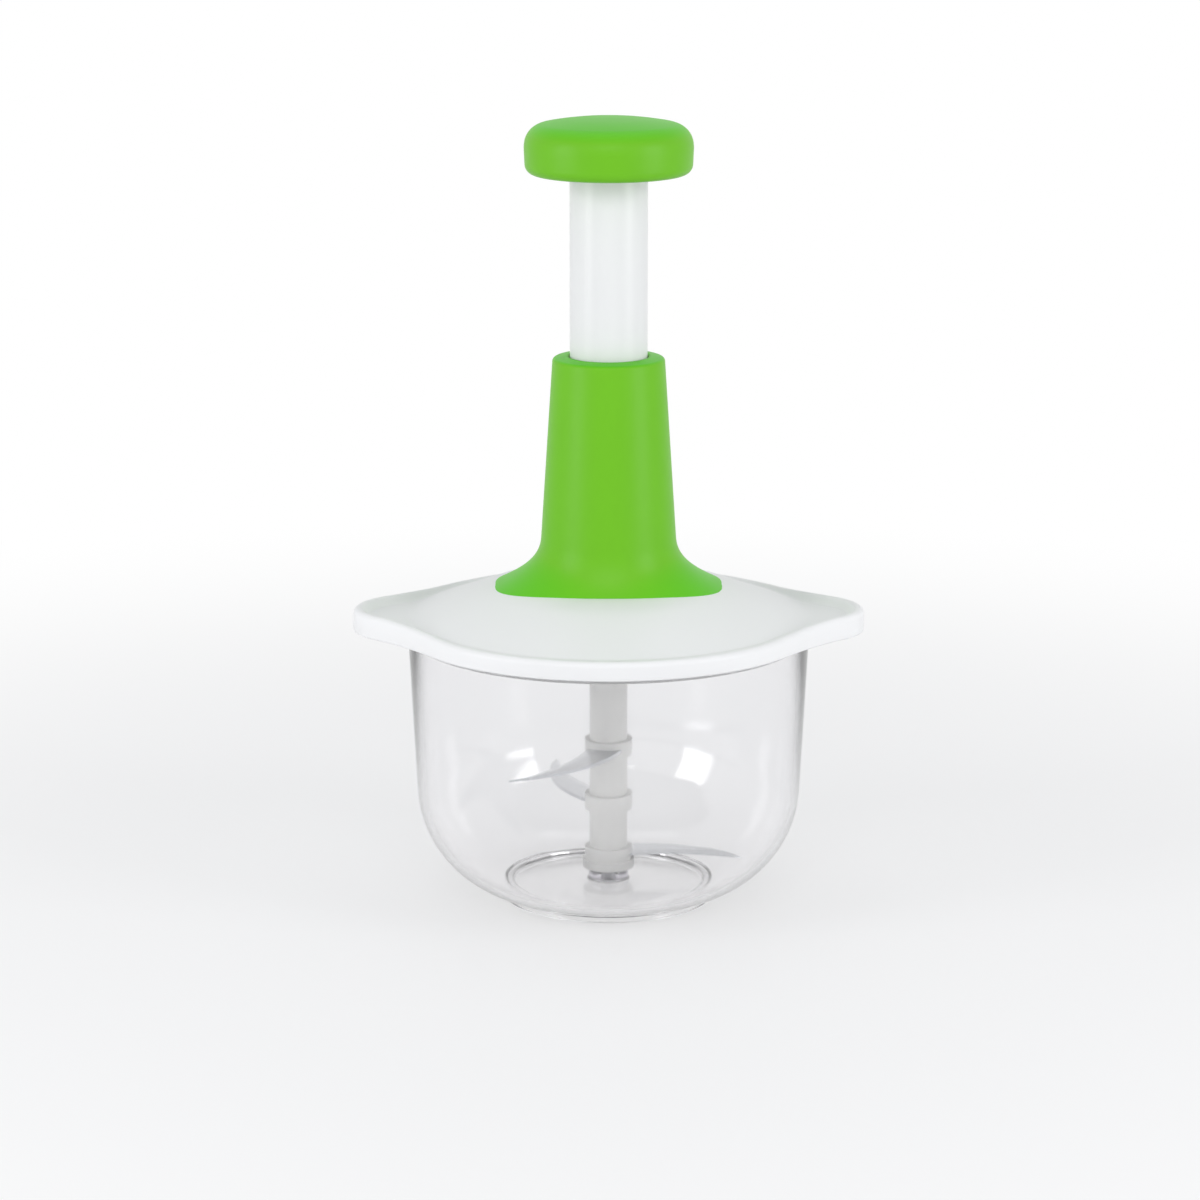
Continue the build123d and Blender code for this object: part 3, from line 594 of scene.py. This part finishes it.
# %% Describe the lid's heights
lid_bottom = bowl_top - 2.6
cad_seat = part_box("lid")[1].z / mm
well_radius = 16.9
seat_height = cad_seat - 0.5
rim_top = bowl_top + 3.4
ear_rise = 1.8
ear_lift = 0.3
rise_start = lid_radius - 22.7
rise_end = lid_radius + 8.3
seat_radius = 30.0
shoulder_radius = 38.0
shoulder_height = seat_height - 1.7
dome_rim_radius = lid_radius - 5.8
dome_rim_height = rim_top + 0.1
lip_width = 2.4
dish_run = 3.2
dish_depth = 1.5
ear_dish = 1.1
least_skin = 0.3
crease = 0.9


def smooth_share(value):
    """An S from 0 to 1."""
    value = min(max(value, 0.0), 1.0)
    return value * value * (3.0 - 2.0 * value)


def ear_share(x):
    """How far a place belongs to an ear, from 0 to 1 in an S."""
    return smooth_share((abs(x) - rise_start) / (rise_end - rise_start))


def band_height(x):
    """Height of the lip's top in mm, which rises towards each ear."""
    return rim_top + ear_rise * ear_share(x)


def skirt_height(x):
    """Height of the skirt's lower edge in mm."""
    return lid_bottom + ear_lift * ear_share(x)


def dome_height(r):
    """Height of the dome in mm: a flat seat, and slopes that steepen at the shoulder."""
    seat_fall = (seat_height - shoulder_height) / (shoulder_radius - seat_radius)
    dome_fall = (shoulder_height - dome_rim_height) / (dome_rim_radius - shoulder_radius)
    height = seat_height
    for radius, fall in ((seat_radius, seat_fall), (shoulder_radius, dome_fall - seat_fall)):
        past = r - radius
        height -= fall * 0.5 * (past + math.sqrt(past**2 + 6.0))
    return height


def higher(first, second):
    """The higher of two heights, with a rounded crease."""
    return 0.5 * (first + second + math.sqrt((first - second) ** 2 + crease**2))


def lid_top(x, y, inset):
    """Height of the lid's upper face in mm at a distance inside its edge."""
    depth = dish_depth + ear_dish * ear_share(x)
    plate = band_height(x) - depth * smooth_share((inset - lip_width) / dish_run)
    return min(higher(dome_height(math.hypot(x, y)), plate), seat_height)


print("heights of the lip at the front and the ear:",
      [round(band_height(x), 1) for x in (0, ear_reach)])

# %% [markdown]
# ## Lid mesh
# The upper face is sampled on rings that all have the lid's own outline, drawn in step by step, so
# the mesh follows the ears. The rings are close together over the lip and the groove, where the
# light turns. The last ones go round the rolled upper edge, down the skirt and round its lower
# edge, and the underside follows one wall lower.

# %% Build the lid's shell
lid_wall = 1.8
edge_round = 1.9
lower_round = 0.6
lid_count = 288
near_edge = 12.0
inner_rows = 30
edge_rows = 22
lid_angles = [2 * math.pi * index / lid_count for index in range(lid_count)]
lid_edge = [(angle, lid_reach(angle), lid_slant(angle)) for angle in lid_angles]


def lid_ring(inset, height, share=1.0):
    """A ring inside the lid's edge, at a share of the way out; height takes x, y and the inset."""
    ring = []
    for angle, reach, slant in lid_edge:
        r = well_radius + (reach - inset / slant - well_radius) * share
        x, y = r * math.cos(angle), r * math.sin(angle)
        ring.append(Vector((x, y, height(x, y, (reach - r) * slant))) * mm)
    return ring


def lid_under(x, y, inset):
    """Height of the lid's inner face in mm."""
    skin = least_skin + ear_share(x) * (lid_wall / 2 - least_skin)
    under = max(dome_height(math.hypot(x, y)), band_height(x)) - lid_wall
    return min(under, lid_top(x, y, inset) - skin)


lid_rings = [lid_ring(near_edge, lid_top, row / inner_rows) for row in range(inner_rows + 1)]
lid_rings += [lid_ring(near_edge + (edge_round - near_edge) * row / edge_rows, lid_top)
              for row in range(1, edge_rows + 1)]
for step in range(1, 7):
    angle = math.pi / 2 * step / 6
    inset = edge_round * (1 - math.sin(angle))
    drop = edge_round * (1 - math.cos(angle))
    lid_rings.append(lid_ring(inset, lambda x, y, inset, drop=drop: lid_top(x, y, inset) - drop))
for step in range(5):
    angle = math.pi / 2 * step / 4
    inset = lower_round * (1 - math.cos(angle))
    lift = lower_round * (1 - math.sin(angle))
    lid_rings.append(lid_ring(inset, lambda x, y, inset, lift=lift: skirt_height(x) + lift))
lid_rings.append(lid_ring(lid_wall - 0.3, lambda x, y, inset: skirt_height(x)))
lid_rings.append(lid_ring(lid_wall, lambda x, y, inset: skirt_height(x) + 0.3))
lid_rings.append(lid_ring(lid_wall, lambda x, y, inset: lid_under(x, y, inset) - 0.8))
lid_rings += [lid_ring(lid_wall + 0.8, lid_under, row / inner_rows)
              for row in range(inner_rows, -1, -1)]
lid_shell = skin_rings("lid_shell", lid_rings, lid_white, closed=True)
print("lid faces:", len(lid_shell.data.polygons))

# %% [markdown]
# ## Under the lid
# A lid like this is stiffened from below. A ring plugs into the bowl's mouth, and a hub in the
# middle holds the spindle's bush. Over the hub lies a well, which gives the pressed plunger room,
# and six ribs run out from it. The ring and the hub are turned, each rib is a flat outline with a
# thickness, and all of them are joined to the shell, because the real lid is one moulding.

# %% Build the lid's underside
plug_outer = bowl_rim_radius - bowl_wall - 0.4
plug_inner = plug_outer - 1.8
channel_roof = rim_top - lid_wall
plug_bottom = channel_roof - 6.0
skirt_bore = bowl_rim_radius + 0.4
ring_reach = lid_radius - 1.2
fit_gap = 0.05
hub_radius = 11.0
hub_bore = 7.25
hub_bottom = cad_seat - 15.7
well_floor = cad_seat - 3.1
well_under = well_floor - 2.0
well_wall = well_radius + lid_wall
bush_pocket = 8.8
bush_pocket_floor = well_floor - 1.25
rib_count = 6
rib_reach = 28.0
rib_depth = 7.0
rib_width = 1.6
rib_root = 0.9
rib_bite = 1.0

plug_ring = turn_profile("plug_ring", rounded_profile([
    (plug_inner, dome_rim_height - 0.9, 0),
    (plug_inner, plug_bottom, 0.6),
    (plug_outer, plug_bottom, 0.6),
    (plug_outer, channel_roof, 0.3),
    (skirt_bore, channel_roof, 0.3),
    (skirt_bore, lid_bottom + 0.05, 0.4),
    (ring_reach, lid_bottom + 0.05, 0.2),
    (ring_reach, channel_roof + 0.1, 0),
]), lid_white, closed=True)
hub_shell = turn_profile("hub_shell", rounded_profile([
    (well_radius + fit_gap, seat_height - lid_wall / 2, 0),
    (well_radius + fit_gap, well_floor, 0.3),
    (bush_pocket, well_floor, 0),
    (bush_pocket, bush_pocket_floor, 0),
    (hub_bore, bush_pocket_floor, 0),
    (hub_bore, hub_bottom, 0.3),
    (hub_radius, hub_bottom, 0.5),
    (hub_radius, well_under, 0.8),
    (well_wall, well_under, 0.8),
    (well_wall, seat_height - lid_wall / 2, 0),
]), lid_white, closed=True)


# %% Build the ribs and join the lid
def rib_mesh(angle):
    """An upright rib under the dome, with its lower corners cut back."""
    form = bmesh.new()
    outline = [
        (well_wall - rib_root, seat_height - lid_wall / 2),
        (well_wall - rib_root, well_under + rib_bite),
        (hub_radius - rib_bite, well_under + rib_bite),
        (hub_radius - rib_bite, seat_height - rib_depth),
        (rib_reach - 3.0, seat_height - rib_depth),
        (rib_reach, seat_height - rib_depth + 3.0),
        (rib_reach, seat_height - lid_wall / 2),
    ]
    sides = []
    for side in (-rib_width / 2, rib_width / 2):
        sides.append([form.verts.new(Vector((r, side, z)) * mm) for r, z in outline])
    form.faces.new(sides[0])
    form.faces.new(list(reversed(sides[1])))
    for index in range(len(outline)):
        following = (index + 1) % len(outline)
        form.faces.new((sides[0][index], sides[0][following], sides[1][following], sides[1][index]))
    bmesh.ops.recalc_face_normals(form, faces=form.faces)
    bmesh.ops.rotate(form, verts=form.verts, cent=(0, 0, 0), matrix=Matrix.Rotation(angle, 3, "Z"))
    mesh = bpy.data.meshes.new("lid_rib")
    form.to_mesh(mesh)
    form.free()
    mesh.materials.append(lid_white)
    piece = bpy.data.objects.new("lid_rib", mesh)
    bpy.context.scene.collection.objects.link(piece)
    return piece


def join_pieces(main, others):
    """Join the others into the main piece."""
    bpy.ops.object.select_all(action="DESELECT")
    for piece in [main, *others]:
        piece.select_set(True)
    bpy.context.view_layer.objects.active = main
    bpy.ops.object.join()
    return main


ribs = [rib_mesh(2 * math.pi * index / rib_count) for index in range(rib_count)]
eared_lid = join_pieces(lid_shell, [plug_ring, hub_shell, *ribs])
eared_lid.name = "eared_lid"
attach(eared_lid, "lid")
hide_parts("lid")
print("ribs:", len(ribs), "lid faces in all:", len(eared_lid.data.polygons))

# %% [markdown]
# ## Seal
# A flat ring of silicone lies in the channel between the skirt and the plug ring, where it meets
# the bowl's rim. It is turned like the other rings, and it rides on the lid.

# %% Lay the seal in the lid's channel
seal_inner = plug_outer + 0.2
seal_outer = skirt_bore - 0.6
seal_height = 1.4
seal_ring = turn_profile("seal_ring", rounded_profile([
    (seal_inner + 0.6, channel_roof, 0),
    (seal_inner, channel_roof, 0.2),
    (seal_inner, channel_roof - seal_height, 0.4),
    (seal_outer, channel_roof - seal_height, 0.4),
    (seal_outer, channel_roof, 0.2),
    (seal_outer - 0.6, channel_roof, 0),
]), seal_grey, closed=True)
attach(seal_ring, "lid")
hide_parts("lid_gasket")
print("seal from", round(seal_inner, 1), "to", round(seal_outer, 1), "mm")

# %% [markdown]
# ## Tower
# The tower tapers evenly up to its mouth. Below, it flares out in a hollow curve into a foot that
# is wider towards the ears than to the front. Each level is an oval that grows squarer towards the
# foot, and the foot stops on the lid's own surface. Inside, three keyways keep the plunger from
# turning, so the bore gets its own rings.

# %% Build the tower
tower_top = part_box("tower_housing")[1].z / mm
tower_top_radius = 18.1
tower_neck_radius = 21.9
flare_top = seat_height + 14.6
foot_base = shoulder_height - 0.6
foot_reach_x = 38.3
foot_reach_y = 29.0
foot_squareness = 2.5
flare_power = 2.4
mouth_round = 1.3
mouth_crown = 0.9
mouth_radius = 12.8
mouth_depth = 2.5
bush_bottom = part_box("guide_bush")[0].z / mm
bore_radius = 15.2
key_reach = 16.6
key_half_width = 2.9
key_angles = [math.radians(angle) for angle in (90, 210, 330)]
tower_count = 192
foot_sunk = 0.3


def neck_radius(height):
    """Radius of the neck in mm."""
    share = (height - flare_top) / (tower_top - flare_top)
    return tower_neck_radius + (tower_top_radius - tower_neck_radius) * share


def tower_ring(height, half_x, half_y, squareness=2.0, on_lid=False):
    """An oval at a height in mm; on the lid it is lifted to just under the lid's surface."""
    ring = []
    for index in range(tower_count):
        angle = 2 * math.pi * index / tower_count
        across, along = math.cos(angle), math.sin(angle)
        x = half_x * math.copysign(abs(across) ** (2 / squareness), across)
        y = half_y * math.copysign(abs(along) ** (2 / squareness), along)
        z = height
        if on_lid:
            z = max(z, min(dome_height(math.hypot(x, y)), seat_height) - foot_sunk)
        ring.append(Vector((x, y, z)) * mm)
    return ring


def keyed_ring(height):
    """The bore at a height in mm, with the three keyways that stop the plunger from turning."""
    ring = []
    for index in range(tower_count):
        angle = 2 * math.pi * index / tower_count
        r = bore_radius
        for turn in [angle - key for key in key_angles]:
            if math.cos(turn) > 0 and abs(bore_radius * math.sin(turn)) < key_half_width:
                r = key_reach / math.cos(turn)
        ring.append(Vector((r * math.cos(angle), r * math.sin(angle), height)) * mm)
    return ring


tower_rings = []
flare_rows = 40
for row in range(flare_rows, -1, -1):
    share = row / flare_rows
    height = flare_top - (flare_top - foot_base) * share
    spread = share**flare_power
    neck = neck_radius(height)
    half_x = neck + (foot_reach_x - neck) * spread
    half_y = neck + (foot_reach_y - neck) * spread
    squareness = 2.0 + (foot_squareness - 2.0) * spread
    tower_rings.append(tower_ring(height, half_x, half_y, squareness, on_lid=True))
mouth_profile = rounded_profile([
    (tower_neck_radius, flare_top, 0),
    (tower_top_radius, tower_top, mouth_round),
    (mouth_radius, tower_top + mouth_crown, 0.8),
    (mouth_radius, tower_top - mouth_depth, 0.2),
    (bore_radius, tower_top - mouth_depth, 0.2),
    (bore_radius, bush_bottom, 0),
])
for r, z in mouth_profile[1:]:
    tower_rings.append(tower_ring(z / mm, r / mm, r / mm))
tower_rings += [keyed_ring(bush_bottom - 0.05), keyed_ring(seat_height)]
flared_tower = skin_rings("flared_tower", tower_rings, apple_green, closed=True)
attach(flared_tower, "lid")
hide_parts("tower_housing")
print("tower faces:", len(flared_tower.data.polygons))

# %% [markdown]
# ## Return spring
# A coil of wire in the tube pushes the knob up again. A rigid copy would stand out of the knob
# when it is pressed. The wire is swept here along a helix between the ends of the CAD spring, and
# the coil rides on the spindle as one piece.

# %% Sweep the return spring
wire_radius = 0.6
coil_radius = 8.6
coil_turns = 10
steps_per_turn = 40
wire_sides = 12
spring_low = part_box("return_spring")[0].z / mm
spring_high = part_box("return_spring")[1].z / mm
coil_low, coil_high = spring_low + wire_radius, spring_high - wire_radius
coil_rise = (coil_high - coil_low) / (2 * math.pi * coil_turns)


def wire_ring(angle, radius):
    """Points round the wire, at an angle along the coil."""
    out = Vector((math.cos(angle), math.sin(angle), 0))
    along = Vector((-coil_radius * math.sin(angle), coil_radius * math.cos(angle), coil_rise))
    across = along.normalized().cross(out)
    centre = out * coil_radius + Vector((0, 0, coil_low + coil_rise * angle))
    turns = [2 * math.pi * side / wire_sides for side in range(wire_sides)]
    return [(centre + (out * math.cos(t) + across * math.sin(t)) * radius) * mm for t in turns]


coil_steps = coil_turns * steps_per_turn
coil_angles = [2 * math.pi * step / steps_per_turn for step in range(coil_steps + 1)]
coil_rings = [wire_ring(angle, wire_radius) for angle in coil_angles]
coil_rings.insert(0, wire_ring(coil_angles[0], wire_radius * 0.5))
coil_rings.append(wire_ring(coil_angles[-1], wire_radius * 0.5))
coil_ends = [sum(ring, Vector()) / wire_sides for ring in (coil_rings[0], coil_rings[-1])]
coil_rings = [[coil_ends[0]], *coil_rings, [coil_ends[1]]]
squeezed_coil = skin_rings("squeezed_coil", coil_rings, spring_steel)
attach(squeezed_coil, "spindle")
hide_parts("return_spring")
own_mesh(squeezed_coil)

# %% [markdown]
# ## Pieces kept from the CAD model
# The blades, the spindle, the bearings and the fasteners have their true shape already, so they
# keep their CAD meshes. Each gets the finish of its own material, by node name.

# %% Dress the kept pieces
finishes = {
    "blade_lower": blade_steel, "blade_middle": blade_steel, "blade_upper": blade_steel,
    "blade_shaft": shaft_white, "drive_coupler": bearing_white, "spring_seat": bearing_white,
    "guide_bush": bearing_white, "spindle_bush": bearing_white, "drive_nut": bearing_white,
    "stop_collar": bearing_white, "knob_base": apple_green,
    "twisted_spindle": spindle_steel, "pivot_pin": screw_steel,
    "thrust_washer": screw_steel, "nut_pins": screw_steel, "coupler_screw": screw_steel,
    "tower_screws": screw_steel, "knob_screws": screw_steel,
}
for name, finish in finishes.items():
    node_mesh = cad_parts[name].data
    node_mesh.materials.clear()
    node_mesh.materials.append(finish)
print("kept pieces dressed:", len(finishes))
